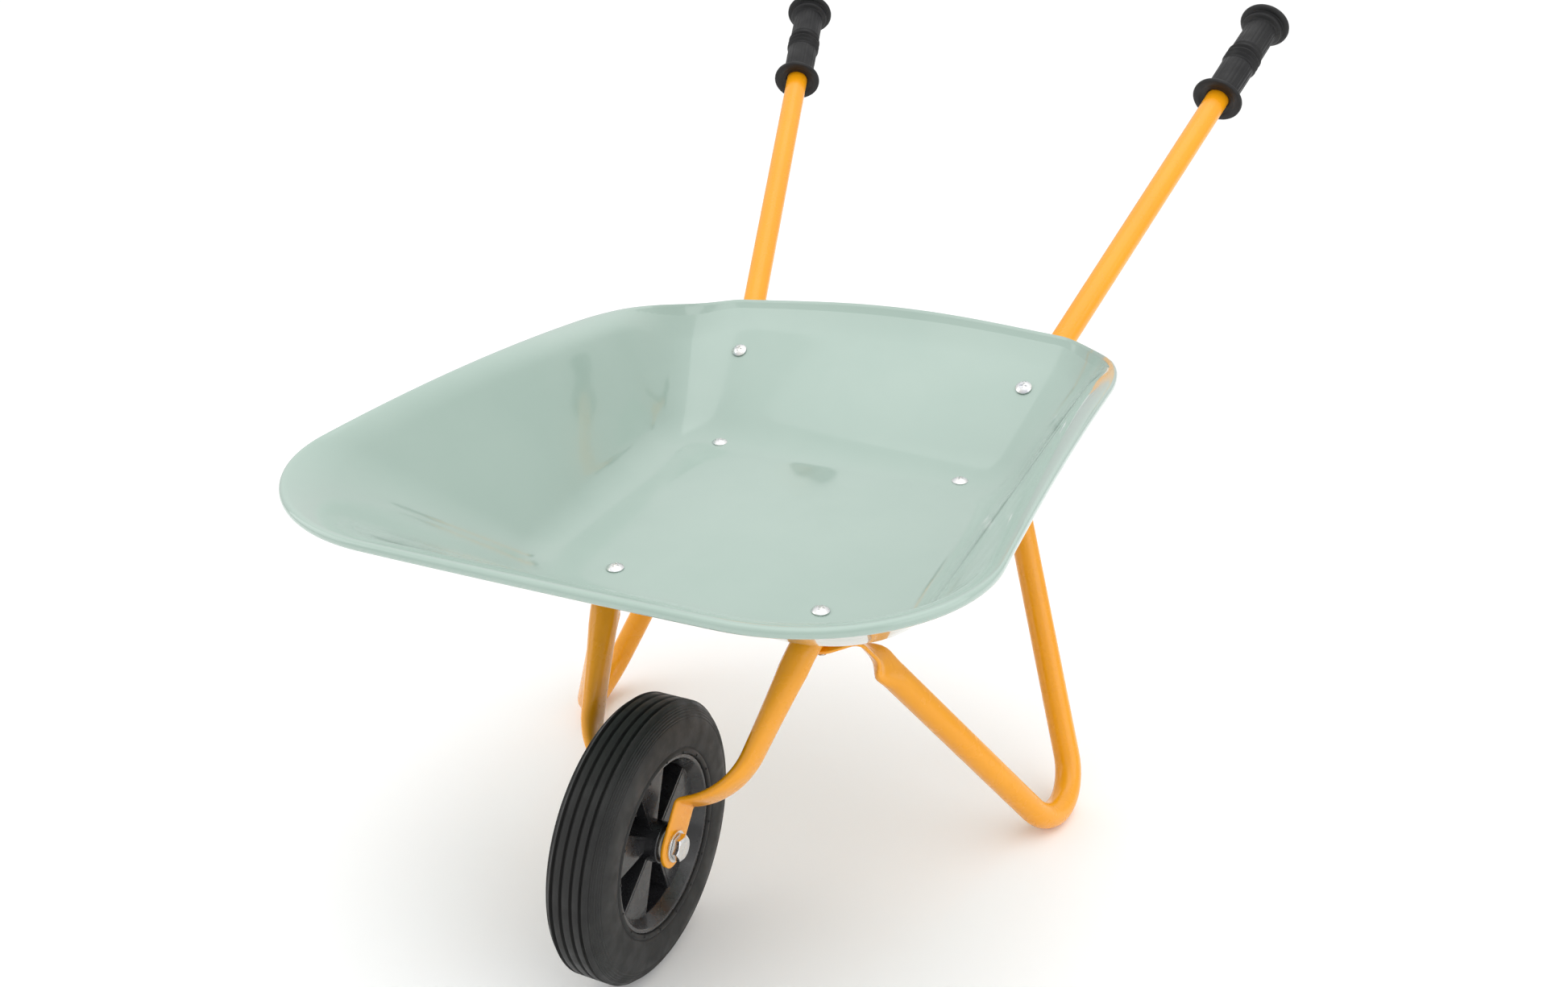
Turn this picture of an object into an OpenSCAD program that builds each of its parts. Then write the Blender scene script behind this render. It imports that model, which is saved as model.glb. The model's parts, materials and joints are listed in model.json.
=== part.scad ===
// Small garden wheelbarrow: pressed steel tray on two bent tubes, V-shaped legs, one solid-tyred wheel.
// Millimetres. +X is the wheel end, +Y is the left side seen from the handles, +Z is up.

/* [Wheel] */
// Outside diameter of the tyre
tyre_d = 178; // [150:1:200]
// Width of the tyre
tyre_w = 38; // [34:1:44]
// Diameter of the seat where the tyre meets the hub
seat_d = 112; // [96:1:124]
// Diameter of the axle bolt
axle_d = 10; // [8:0.5:12]
// Outside diameter of the hub's plain bushes
bush_d = 14; // [13:0.5:18]

/* [Tray] */
// Sheet thickness of the tray
sheet_t = 1.2; // [1:0.1:2]
// Height of the tray floor above the axle line, extended forward at the floor's slope
floor_z = 204.7; // [200:0.5:212]
// Fall of the tray floor toward the wheel, as a slope
floor_slope = 0.11; // [0.08:0.01:0.14]
// Distance of the front rim ahead of the axle
rim_front = 105; // [90:1:120]
// Distance of the rear rim behind the axle
rim_back = 408; // [395:1:425]
// Half width of the rim where its sides meet the front line
rim_half_front = 222; // [200:1:240]
// Half width of the rim where its sides meet the rear line
rim_half_back = 195; // [185:1:215]
// Diameter of the rolled edge
bead_d = 6; // [5:0.5:8]

/* [Frame tubes] */
// Outside diameter of the frame tube
tube_d = 19; // [18:0.5:20]
// Wall thickness of the frame tube
wall_t = 1.2; // [1:0.1:1.6]
// Width of a tube end that is pressed flat
tab_w = 28; // [26:0.5:30]
// Thickness of a tube end that is pressed flat
tab_t = 3; // [2.4:0.1:3.2]

/* [Grips] */
// Distance between the middles of the two grip flanges
grip_len = 94; // [85:1:110]
// Diameter of the grip between its flanges
grip_d = 27; // [25:0.5:31]
// Diameter of the grip flanges
flange_d = 42; // [36:1:46]

/* [Screws] */
// Diameter of the tray screws
screw_d = 6; // [5:0.5:6]
// Diameter of the tray screw heads
head_d = 12; // [11:0.5:13]

/* [Hidden] */
$fn = 48;

tray_color = [0.70, 0.80, 0.75];
frame_color = [0.97, 0.64, 0.15];
rubber_color = [0.07, 0.07, 0.07];
hub_color = [0.03, 0.03, 0.03];
steel_color = [0.72, 0.72, 0.74];

tube_r = tube_d / 2;
floor_angle = atan(floor_slope);
fit_gap = 0.05;

// vector helpers
function unit(v) = v / norm(v);
function lerp(a, b, f) = a + (b - a) * f;
function smooth(f) = f * f * (3 - 2 * f);
// length that a bend of radius r takes from each leg of the corner a-v-b
function tangent_len(a, v, b, r) = r * tan(acos(unit(v - a) * unit(b - v)) / 2);
// points and directions along the rounded corner a-v-b
function bend_pts(a, v, b, r, n) =
    let (u = unit(v - a), w = unit(b - v), turn = acos(u * w), side = unit(w - u * (u * w)),
         start = v - u * tangent_len(a, v, b, r))
    [for (i = [0 : n]) let (q = turn * i / n)
        [start + u * r * sin(q) + side * r * (1 - cos(q)), u * cos(q) + side * sin(q)]];

// tray: floor plane, back wall line and the tube that lies along both
function floor_at(x) = floor_z - floor_slope * x;
under = sheet_t + fit_gap + tube_r;
tube_bend = [-316, 99, floor_at(-316) - under / cos(floor_angle) * 1.055];
grip_aim = [-690, 202, 503];
handle_dir = unit(grip_aim - tube_bend);
handle_up = unit([-handle_dir[2], 0, handle_dir[0]]) * -1;
// fork line: falls from the tray floor to the axle
fork_dir = [0.6, 0, -0.8];
fork_side = [0.8, 0, 0.6];
function fork_at(s, y) = [0, y, tyre_d / 2] - fork_dir * s;
tab_y = tyre_w / 2 + 2.5;
fold_s = 27;
fork_knee = fork_at(38.5, 52);
fork_top = [-85.6, 72.5, 0] + [0, 0, floor_at(-85.6) - under / cos(floor_angle)];
main_path = [tube_bend + handle_dir * (428.6 + grip_len), tube_bend, fork_top, fork_knee];
main_r = 27;
top_r = 30;
grip_start = 428.6;

// screws: the point on the tray surface and the direction of the head
function main_y(x) = lerp(99, 72.5, (x + 316) / (316 - 85.6));
wall_lift = 1.5;
back_at = tube_bend + handle_dir * 90 + handle_up * (under + wall_lift);
rear_at = [-302, main_y(-302), floor_at(-302)];
front_at = [-101, main_y(-101), floor_at(-101)];
floor_up = [sin(floor_angle), 0, cos(floor_angle)];

// legs: each tab lies flat under the main tube, the rear one behind the back wall, the front one below
// the floor
below_tube = under + tube_r + 0.3 + tab_t / 2;
leg_rear_tab = back_at - handle_up * (below_tube + wall_lift);
leg_front_tab = front_at - floor_up * below_tube;
// point of a tab's plane at x, y
function on_plane(tab, up, x, y) = [x, y, tab[2] - (x - tab[0]) * up[0] / up[2]];
leg_rear = on_plane(leg_rear_tab, handle_up, -381, 102);
leg_front = on_plane(leg_front_tab, floor_up, -119, 87);
leg_foot = [-278, 221, -38.25];
foot_r = 38;

// whole object stands with the middle of its length at X = 0
handle_end = tube_bend + handle_dir * (grip_start + grip_len + 2.5);
x_rear = handle_end[0] - flange_d / 2 * sqrt(1 - handle_dir[0] * handle_dir[0]);
front_bow = 3;
axle_x = -(x_rear + rim_front + front_bow + bead_d / 2) / 2;

module place() translate([axle_x, 0, 0]) children();
module right_side() mirror([0, 1, 0]) children();
// turns +Z to the direction d
module along(d) rotate([0, acos(d[2]), atan2(d[1], d[0])]) children();
// closed skin over a list of rings that all have the same number of points
module skin(rings) {
    n = len(rings[0]);
    m = len(rings);
    polyhedron(
        points = [for (ring = rings) for (p = ring) p],
        faces = concat(
            [[for (i = [0 : n - 1]) i]],
            [for (j = [0 : m - 2]) for (i = [0 : n - 1]) let (k = (i + 1) % n)
                each [[j * n + i, (j + 1) * n + i, j * n + k],
                    [j * n + k, (j + 1) * n + i, (j + 1) * n + k]]],
            [[for (i = [n - 1 : -1 : 0]) (m - 1) * n + i]]));
}

// ring around a station [point, direction]: half size a along w, half size b across it
function ring(station, w, a, b, n = 24) =
    let (across = cross(station[1], w))
    [for (i = [0 : n - 1]) let (q = 360 * i / n) station[0] + w * a * cos(q) + across * b * sin(q)];
// the part of v that is square to the direction d
function square_to(v, d) = unit(v - d * (v * d));
// half width and half thickness of a tube while it is being pressed flat; f runs 0 to 1
press_curve = 0.45;
function press_wide(f) = lerp(tube_r, tab_w / 2 - 0.1, pow(smooth(f), press_curve));
function press_thick(f) = lerp(tube_r, tab_t / 2 - 0.05, pow(smooth(f), press_curve));

// outline of the tray: straight edges joined by conic corners, front middle to rear middle and back again
function conic(a, v, b, n) = [for (i = [1 : n]) let (t = i / n, w = 0.7071)
    (a * (1 - t) * (1 - t) + v * 2 * w * t * (1 - t) + b * t * t)
        / ((1 - t) * (1 - t) + 2 * w * t * (1 - t) + t * t)];
// xf, xb are the front and rear lines, hf, hb the half widths there, then how far each corner reaches
function outline(xf, xb, hf, hb, front_x, front_y, back_x, back_y) =
    let (vf = [xf, hf], vb = [xb, hb], side = unit(vf - vb),
         f0 = [xf, hf - front_y], f1 = vf - side * front_x,
         b0 = vb + side * back_x, b1 = [xb, hb - back_y],
         half = concat([[xf, 0], f0], conic(f0, vf, f1, 6), [lerp(f1, b0, 0.33), lerp(f1, b0, 0.67), b0],
             conic(b0, vb, b1, 6), [[xb, hb / 6]]),
         n = len(half))
    concat(half, [for (i = [n - 1 : -1 : 1]) [half[i][0], -half[i][1]]]);

rim_plan = outline(rim_front, -rim_back, rim_half_front, rim_half_back, 100, 115, 136, 62);
floor_plan = outline(-62, -312, 132, 139, 52, 60, 40, 28);
rim_n = len(rim_plan);
function floor_pt(i) = [floor_plan[i][0], floor_plan[i][1], floor_at(floor_plan[i][0])];
// the rear wall is one plane, parallel to the tubes behind it
wall_slope = -handle_dir[2] / handle_dir[0];
function wall_plane(x) = floor_at(-312) + wall_slope * (-312 - x);
// rim: bowed a little at the front and more at the rear, highest halfway along
function rim_pt(i) =
    let (p = rim_plan[i], s = (p[0] + rim_back) / (rim_front + rim_back),
         flat = max(0, 1 - pow(p[1] / rim_half_back, 2)),
         x = p[0] + front_bow * flat * pow(s, 4) - 18 * flat * pow(1 - s, 4))
    [x, p[1], lerp(lerp(323, 309, s) + 60 * s * (1 - s), wall_plane(x) + 5.5, flat * pow(1 - s, 12))];
// where the wall ends and the flared lip begins
function lip_pt(i) =
    let (low = floor_pt(i), top = rim_pt(i), out = unit([top[0] - low[0], top[1] - low[1], 0]),
         p = top - out * 14, back = pow(max(0, -out[0]), 6))
    [p[0], p[1], lerp(p[2] - 3.5, wall_plane(p[0]), back)];
// section of the wall at station i: f is 0 at the floor corner, 0.5 where the lip begins, 1 at the rim
function wall_pt(i, f) =
    let (low = floor_pt(i), top = rim_pt(i), lip = lip_pt(i),
         out = unit([top[0] - low[0], top[1] - low[1], 0]))
    f < 0 ? low + [out[0], out[1], -floor_slope * out[0]] * f * 50
    : f < 0.5 ? lerp(low, lip, f * 2)
    : let (t = (f - 0.5) * 2, q = lerp(lip, low, 0.1))
        q * (1 - t) * (1 - t) + lip * 2 * t * (1 - t) + top * t * t;
profile_f = [-0.3, -0.1, 0.03, 0.2, 0.42, 0.5, 0.67, 0.84, 1];
top_j = len(profile_f) - 1;
function inner(i, j) = wall_pt((i + rim_n) % rim_n, profile_f[j]);
// direction from the sheet's inner face to its outer face
function sheet_normal(i, j) = unit(cross(
    inner(i + 1, max(j, 1)) - inner(i - 1, max(j, 1)),
    inner(i, min(j + 1, top_j)) - inner(i, max(j - 1, 0))));
function outer(i, j) = inner(i, j) + sheet_normal(i, j) * sheet_t;
bead_r = bead_d / 2;
function bead_pt(i, q) =
    let (low = floor_pt(i), top = rim_pt(i), out = unit([top[0] - low[0], top[1] - low[1], 0]))
    top + out * (bead_r * cos(q)) + [0, 0, bead_r * (sin(q) - 1)];

// hole for a tray screw, all the way through whatever it crosses
module screw_hole(at, up, depth) translate(at + up * 2) along(-up) cylinder(d = screw_d + 0.6, h = depth);

module tray_holes(depth) {
    for (side = [1, -1]) scale_y(side) {
        screw_hole(back_at, handle_up, depth);
        screw_hole(rear_at, floor_up, depth);
        screw_hole(front_at, floor_up, depth);
    }
}
module scale_y(side) {
    if (side > 0) children();
    else mirror([0, 1, 0]) children();
}

module tray() color(tray_color) difference() {
    skin(concat(
        [for (j = [0 : top_j - 1]) [for (i = [0 : rim_n - 1]) inner(i, j)]],
        [for (q = [90 : -45 : -180]) [for (i = [0 : rim_n - 1]) bead_pt(i, q)]],
        [for (j = [top_j - 1 : -1 : 0]) [for (i = [0 : rim_n - 1]) outer(i, j)]]));
    tray_holes(8);
}

// main tube: round from the grip to the tray front, then pressed flat down to the tab beside the hub
press_start = lerp(fork_top, fork_knee, 0.2);
fork_fold = fork_at(fold_s, tab_y);
fork_tip = fork_at(0, tab_y);
knee_pts = bend_pts(press_start, fork_knee, fork_fold, 50, 6);
fork_fall = unit(fork_knee - press_start);
round_stations = concat(
    [[main_path[0], -handle_dir]],
    bend_pts(main_path[0], main_path[1], main_path[2], main_r, 4),
    bend_pts(main_path[1], main_path[2], main_path[3], top_r, 5));
fork_stations = concat(
    [for (f = [0, 0.25, 0.5, 0.75]) [lerp(press_start, knee_pts[0][0], f), fork_fall]],
    knee_pts,
    bend_pts(fork_knee, fork_fold, fork_tip, 4, 3),
    [[fork_at(20, tab_y), fork_dir]]);

module main_tube() color(frame_color) difference() {
    union() {
        skin(concat(
            [for (st = round_stations) ring(st, square_to(fork_side, st[1]), tube_r, tube_r)],
            [for (i = [0 : len(fork_stations) - 1]) let (f = i / (len(fork_stations) - 1))
                ring(fork_stations[i], fork_side, press_wide(f), press_thick(f))]));
        translate([0, tab_y + tab_t / 2, tyre_d / 2]) rotate([90, 0, 0]) linear_extrude(tab_t) {
            circle(d = tab_w);
            rotate(atan2(fork_dir[2], fork_dir[0]) + 180) translate([0, -tab_w / 2])
                square([fold_s - 4, tab_w]);
        }
    }
    skin([for (i = [0 : len(round_stations) - 1])
        let (st = round_stations[i], at = i == 0 ? [st[0] - st[1] * 2, st[1]] : st)
        ring(at, square_to(fork_side, st[1]), tube_r - wall_t, tube_r - wall_t)]);
    translate([0, tyre_w, tyre_d / 2]) rotate([90, 0, 0]) cylinder(d = axle_d + 0.4, h = tyre_w);
    screw_hole(back_at, handle_up, 40);
    screw_hole(rear_at, floor_up, 40);
    screw_hole(front_at, floor_up, 40);
}

// leg: a V of tube with both ends pressed flat and folded in under the main tube
v_normal = unit(cross(leg_foot - leg_rear, leg_front - leg_foot));
press_steps = 4;
// stations of one end, from the round tube up to the tab
function leg_end(tab, top) =
    let (up = unit(top - leg_foot), start = lerp(top, leg_foot, 0.17), end = lerp(top, leg_foot, 0.06))
    concat([for (i = [0 : press_steps]) [lerp(start, end, i / press_steps), up]],
        bend_pts(leg_foot, top, tab, 14, 5), [[lerp(top, tab, 0.6), unit(tab - top)]]);
function leg_press(i) = min(1, i / (press_steps + 0.5));
// width direction at a station: in the plane of the V on the round tube, in the plane of the tab at its end
function leg_side(station, f, tab, top, up) =
    let (tube_side = cross(v_normal, unit(top - leg_foot)), last = unit(tab - top), plate = cross(up, last),
         plate_side = plate * sign(plate * square_to(tube_side, last)),
         turn = smooth(min(1, max(0, (f - 0.35) / 0.5))))
    square_to(lerp(tube_side, plate_side, turn), station[1]);
rear_end = leg_end(leg_rear_tab, leg_rear);
front_end = leg_end(leg_front_tab, leg_front);
foot_pts = bend_pts(leg_rear, leg_foot, leg_front, foot_r, 9);
end_n = len(rear_end);
module leg_plate(tab, top, up) {
    tilt = atan2(up[0], up[2]);
    d = top - tab;
    translate(tab) rotate([0, tilt, 0]) rotate([0, 0, atan2(d[1], d * [cos(tilt), 0, -sin(tilt)])])
        translate([0, 0, -tab_t / 2]) linear_extrude(tab_t) {
            circle(d = tab_w);
            translate([0, -tab_w / 2]) square([norm(d) * 0.62, tab_w]);
        }
}
module leg() color(frame_color) difference() {
    union() {
        skin(concat(
            [for (k = [end_n - 1 : -1 : 0])
                let (st = rear_end[k], f = leg_press(k),
                     wide = leg_side(st, f, leg_rear_tab, leg_rear, handle_up))
                ring([st[0], -st[1]], -wide, press_wide(f), press_thick(f))],
            [for (st = foot_pts) ring(st, cross(v_normal, st[1]), tube_r, tube_r)],
            [for (k = [0 : end_n - 1])
                let (st = front_end[k], f = leg_press(k),
                     wide = leg_side(st, f, leg_front_tab, leg_front, floor_up))
                ring(st, wide, press_wide(f), press_thick(f))]));
        leg_plate(leg_rear_tab, leg_rear, handle_up);
        leg_plate(leg_front_tab, leg_front, floor_up);
    }
    skin([for (st = concat([[lerp(leg_rear, leg_foot, 0.2), foot_pts[0][1]]], foot_pts,
            [[lerp(leg_front, leg_foot, 0.2), foot_pts[9][1]]]))
        ring(st, cross(v_normal, st[1]), tube_r - wall_t, tube_r - wall_t)]);
    // the tabs are dished where the main tube bends into them
    skin([for (st = round_stations) ring(st, square_to(fork_side, st[1]), tube_r + 0.25, tube_r + 0.25)]);
    // vent hole on the inner side, so that paint can drain
    translate(lerp(leg_rear, leg_foot, 0.45)) rotate([90, 0, 0]) cylinder(d = 4, h = tube_d);
    screw_hole(back_at, handle_up, 40);
    screw_hole(front_at, floor_up, 40);
}

// grip: closed rubber sleeve over the tube end, built along its own axis from the inner flange
module grip() color(rubber_color) translate(tube_bend + handle_dir * (grip_start - 2.5)) along(handle_dir)
    difference() {
        union() {
            cylinder(d = grip_d, h = grip_len + 5);
            cylinder(d = flange_d, h = 5);
            translate([0, 0, 5]) cylinder(d1 = grip_d + 6, d2 = grip_d, h = 4);
            translate([0, 0, grip_len]) cylinder(d = flange_d, h = 5);
            translate([0, 0, grip_len - 5]) cylinder(d = flange_d - 8, h = 6);
            for (k = [-1, 0, 1]) translate([0, 0, 2.5 + grip_len / 2 + k * 5])
                rotate_extrude() translate([grip_d / 2, 0]) circle(d = 2.4, $fn = 24);
        }
        translate([0, 0, -1]) cylinder(d = tube_d + 0.1, h = grip_len + 3.6);
        translate([0, 0, -1]) cylinder(d1 = flange_d - 10, d2 = tube_d + 4, h = 2.6);
    }

// wheel: everything below is built on the axle line, along +Y
module on_axle() translate([0, 0, tyre_d / 2]) rotate([-90, 0, 0]) children();
tyre_r = tyre_d / 2;
seat_r = seat_d / 2;
half_w = tyre_w / 2;
groove_w = 2.4;
function mirror_pts(p) = concat(p, [for (i = [len(p) - 1 : -1 : 0]) [p[i][0], -p[i][1]]]);
tyre_half = concat(
    [[seat_r + 2, half_w - 5], [seat_r, half_w - 4], [seat_r, half_w - 1.5],
        [seat_r + 4, half_w - 0.4], [seat_r + 10, half_w]],
    [for (q = [0 : 15 : 75]) [tyre_r - 18 + 16.5 * sin(q), half_w - 8 + 8 * cos(q)]],
    [[tyre_r - 0.9, half_w - 7.2]],
    [for (y = [9.6, 3.4]) each [[tyre_r, y + groove_w / 2], [tyre_r - 2.2, y + 0.6],
        [tyre_r - 2.2, y - 0.6], [tyre_r, y - groove_w / 2]]]);
module tyre() color(rubber_color) on_axle() rotate_extrude($fn = 96) polygon(mirror_pts(tyre_half));

hub_half_w = 17;
web_y = 9;
// one tenth of the web; the panels lie by turns near one face of the hub and near the other
module web_panel() intersection() {
    cylinder(r = seat_r - 6.4, h = 2.6);
    linear_extrude(2.6)
        polygon([[0, 0], [seat_r * 1.3, 0], [seat_r * 1.3 * cos(36), seat_r * 1.3 * sin(36)]]);
}
module wheel_hub() color(hub_color) on_axle() difference() {
    union() {
        rotate_extrude($fn = 96) polygon(mirror_pts([[seat_r - 7.5, 3], [seat_r - 7.5, 8],
            [seat_r - 2.4, half_w - 2.6], [seat_r - 0.1, half_w - 2.6], [seat_r - 0.1, half_w - 4.2],
            [seat_r + 1.8, half_w - 5.2]]));
        cylinder(d = 26, h = 2 * hub_half_w, center = true);
        for (k = [0 : 9]) rotate(36 * k - 34) {
            translate([0, 0, k % 2 == 0 ? web_y - 2.6 : -web_y]) web_panel();
            translate([10, -1.2, -web_y + 0.4]) cube([seat_r - 16, 2.4, 2 * web_y - 0.8]);
        }
    }
    cylinder(d = bush_d + 0.02, h = 60, center = true);
}

bush_len = hub_half_w - 2;
module hub_bush() color(steel_color) on_axle() difference() {
    union() {
        translate([0, 0, hub_half_w - bush_len]) cylinder(d = bush_d, h = bush_len + 1);
        translate([0, 0, hub_half_w + 0.02]) cylinder(d = bush_d + 5, h = 1.2);
    }
    cylinder(d = axle_d + 0.1, h = 60);
}

tab_in = tab_y - tab_t / 2;
tab_out = tab_y + tab_t / 2;
module axle_spacer() color(steel_color) on_axle() difference() {
    translate([0, 0, hub_half_w + 1.6]) cylinder(d = 18, h = tab_in - hub_half_w - 1.65);
    cylinder(d = axle_d + 0.04, h = 60);
}
module axle_washer() color(steel_color) on_axle() difference() {
    translate([0, 0, tab_out + 0.02]) cylinder(d = 20, h = 1.6);
    cylinder(d = axle_d + 0.04, h = 60);
}
head_y = tab_out + 1.64;
module axle_bolt() color(steel_color) on_axle() {
    translate([0, 0, -head_y - 8.5]) cylinder(d = axle_d, h = 2 * head_y + 8.6);
    translate([0, 0, head_y]) cylinder(d = 17.3, h = 5, $fn = 6);
}
module axle_nut() color(steel_color) on_axle() difference() {
    translate([0, 0, -head_y - 7]) cylinder(d = 17.3, h = 7, $fn = 6);
    translate([0, 0, -head_y - 10]) cylinder(d = axle_d + 0.04, h = 12);
}

// pan head machine screw with a cross recess, head on the tray surface
module tray_screw(at, up, length) color(steel_color) translate(at + up * 0.03) along(up) {
    translate([0, 0, -length]) cylinder(d = screw_d, h = length + 0.1);
    difference() {
        intersection() {
            cylinder(d = head_d, h = 3.2);
            translate([0, 0, 3.2 - 9]) sphere(r = 9, $fn = 64);
        }
        for (a = [0, 90]) rotate(a) translate([-2.6, -0.5, 1.4]) cube([5.2, 1, 4]);
    }
}
module tray_nut(at, up, depth) color(steel_color) translate(at - up * (depth + 5)) along(up) difference() {
    cylinder(d = 11.5, h = 5, $fn = 6);
    translate([0, 0, -1]) cylinder(d = screw_d + 0.04, h = 8);
}
rear_depth = under + tube_r + 1.1;
front_depth = under + tube_r + tab_t + 0.4;
back_depth = front_depth + wall_lift;
module back_screw() tray_screw(back_at, handle_up, back_depth + 8);
module rear_screw() tray_screw(rear_at, floor_up, rear_depth + 8);
module front_screw() tray_screw(front_at, floor_up, front_depth + 8);
module back_nut() tray_nut(back_at, handle_up, back_depth);
module rear_nut() tray_nut(rear_at, floor_up, rear_depth);
module front_nut() tray_nut(front_at, floor_up, front_depth);

place() tray();
place() main_tube();  // main_tube_left
place() right_side() main_tube();  // main_tube_right
place() leg();  // leg_left
place() right_side() leg();  // leg_right
place() grip();  // grip_left
place() right_side() grip();  // grip_right
place() tyre();
place() wheel_hub();
place() hub_bush();  // hub_bush_left
place() right_side() hub_bush();  // hub_bush_right
place() axle_bolt();
place() axle_nut();
place() axle_washer();  // axle_washer_left
place() right_side() axle_washer();  // axle_washer_right
place() axle_spacer();  // axle_spacer_left
place() right_side() axle_spacer();  // axle_spacer_right
place() back_screw();  // back_screw_left
place() right_side() back_screw();  // back_screw_right
place() rear_screw();  // rear_screw_left
place() right_side() rear_screw();  // rear_screw_right
place() front_screw();  // front_screw_left
place() right_side() front_screw();  // front_screw_right
place() back_nut();  // back_nut_left
place() right_side() back_nut();  // back_nut_right
place() rear_nut();  // rear_nut_left
place() right_side() rear_nut();  // rear_nut_right
place() front_nut();  // front_nut_left
place() right_side() front_nut();  // front_nut_right
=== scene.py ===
"""Looks for a small garden wheelbarrow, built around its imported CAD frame.

Shapes are worked out in millimetres from the axle line, as the CAD source does, and put into the row frame
last.
"""
import json
import math

import bmesh
import bpy
import numpy as np
from mathutils import Matrix, Vector


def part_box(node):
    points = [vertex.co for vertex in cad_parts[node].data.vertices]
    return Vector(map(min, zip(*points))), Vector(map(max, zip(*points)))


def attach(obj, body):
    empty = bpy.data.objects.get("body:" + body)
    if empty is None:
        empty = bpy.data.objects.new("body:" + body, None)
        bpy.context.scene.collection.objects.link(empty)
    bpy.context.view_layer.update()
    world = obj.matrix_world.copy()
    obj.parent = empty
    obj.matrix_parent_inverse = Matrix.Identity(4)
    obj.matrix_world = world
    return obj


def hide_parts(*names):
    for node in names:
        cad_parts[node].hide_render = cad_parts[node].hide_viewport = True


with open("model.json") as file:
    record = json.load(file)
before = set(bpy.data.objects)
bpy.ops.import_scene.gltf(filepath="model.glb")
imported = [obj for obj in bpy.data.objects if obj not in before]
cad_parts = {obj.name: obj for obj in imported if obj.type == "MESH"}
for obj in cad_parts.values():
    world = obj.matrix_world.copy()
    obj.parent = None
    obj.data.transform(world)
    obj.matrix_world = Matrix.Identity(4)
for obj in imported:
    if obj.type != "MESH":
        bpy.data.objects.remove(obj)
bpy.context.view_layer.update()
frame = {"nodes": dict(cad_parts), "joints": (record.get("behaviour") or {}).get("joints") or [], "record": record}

AXLE = Vector(frame["joints"][0]["pos_m"])
tyre_low, tyre_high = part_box("tyre")

# driving dimensions in millimetres, the same as the CAD's
TYRE_R = (tyre_high.z - tyre_low.z) * 500
TYRE_HALF_W = (tyre_high.y - tyre_low.y) * 500
SEAT_R = 56
SHEET_T = 1.2
FLOOR_Z = 204.7
FLOOR_SLOPE = 0.11
RIM_FRONT = 105
RIM_BACK = -408
RIM_HALF_FRONT = 222
RIM_HALF_BACK = 195
FLOOR_FRONT = -62
FLOOR_BACK = -312
FLOOR_HALF_FRONT = 132
FLOOR_HALF_BACK = 139
# how far each corner reaches: front along the side, front across, back along the side, back across
RIM_CORNERS = (100, 115, 136, 62)
FLOOR_CORNERS = (52, 60, 40, 28)
BEAD_R = 3
TUBE_R = 9.5
TAB_HALF_W = 14
TAB_HALF_T = 1.5
GRIP_LEN = 94
GRIP_R = 13.5
FLANGE_R = 21
SCREW_R = 3
HEAD_R = 6
FIT_GAP = 0.05
SIDES = {"left": 1, "right": -1}


# ---------------------------------------------------------------- vectors and curves

def vec(*xyz):
    return np.array(xyz, float)


def unit(v):
    return v / np.linalg.norm(v)


def lerp(a, b, f):
    return a + (b - a) * f


def smooth(f):
    return f * f * (3 - 2 * f)


def square_to(v, d):
    """The part of v that is square to the direction d."""
    return unit(v - d * np.dot(v, d))


def bend(a, v, b, r, n):
    """Stations (point, direction) along the rounded corner a-v-b of bend radius r."""
    u, w = unit(v - a), unit(b - v)
    turn = math.acos(np.dot(u, w))
    side = unit(w - u * np.dot(u, w))
    start = v - u * r * math.tan(turn / 2)
    stations = []
    for i in range(n + 1):
        q = turn * i / n
        place = start + u * r * math.sin(q) + side * r * (1 - math.cos(q))
        stations.append((place, u * math.cos(q) + side * math.sin(q)))
    return stations


def straight(a, b, n):
    """Stations from a towards b, without b itself."""
    return [(lerp(a, b, i / n), unit(b - a)) for i in range(n)]


# ---------------------------------------------------------------- meshes

def add_piece(name, points, faces, body, material, replaced=(), sharp=40):
    """A mesh object from millimetre points, riding on its body."""
    mesh = bpy.data.meshes.new(name)
    place = [(AXLE.x + p[0] / 1000, p[1] / 1000, p[2] / 1000) for p in points]
    mesh.from_pydata(place, [], faces)
    mesh.validate()
    work = bmesh.new()
    work.from_mesh(mesh)
    bmesh.ops.remove_doubles(work, verts=work.verts, dist=2e-6)
    bmesh.ops.recalc_face_normals(work, faces=work.faces)
    work.to_mesh(mesh)
    work.free()
    mesh.polygons.foreach_set("use_smooth", [True] * len(mesh.polygons))
    mesh.set_sharp_from_angle(angle=math.radians(sharp))
    mesh.materials.append(material)
    piece = bpy.data.objects.new(name, mesh)
    bpy.context.scene.collection.objects.link(piece)
    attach(piece, body)
    if replaced:
        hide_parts(*replaced)
    return piece


def skin(rings, looped=False):
    """Points and faces of a closed skin over rings that all have the same number of points.

    A looped skin joins its last ring to its first; any other is capped at both ends.
    """
    n = len(rings[0])
    m = len(rings)
    points = [p for ring in rings for p in ring]
    faces = []
    for j in range(m if looped else m - 1):
        k = (j + 1) % m
        for i in range(n):
            h = (i + 1) % n
            faces.append((j * n + i, j * n + h, k * n + h, k * n + i))
    if not looped:
        faces.append(tuple(range(n - 1, -1, -1)))
        faces.append(tuple((m - 1) * n + i for i in range(n)))
    return points, faces


def lathe(profile, origin, axis, start, n=192):
    """A closed profile of (radius, height) points turned about an axis; start is the zero-angle direction."""
    side = np.cross(axis, start)
    rings = []
    for radius, height in profile:
        ring = []
        for i in range(n):
            q = 2 * math.pi * i / n
            ring.append(origin + axis * height + (start * math.cos(q) + side * math.sin(q)) * radius)
        rings.append(ring)
    return skin(rings, looped=True)


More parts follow.
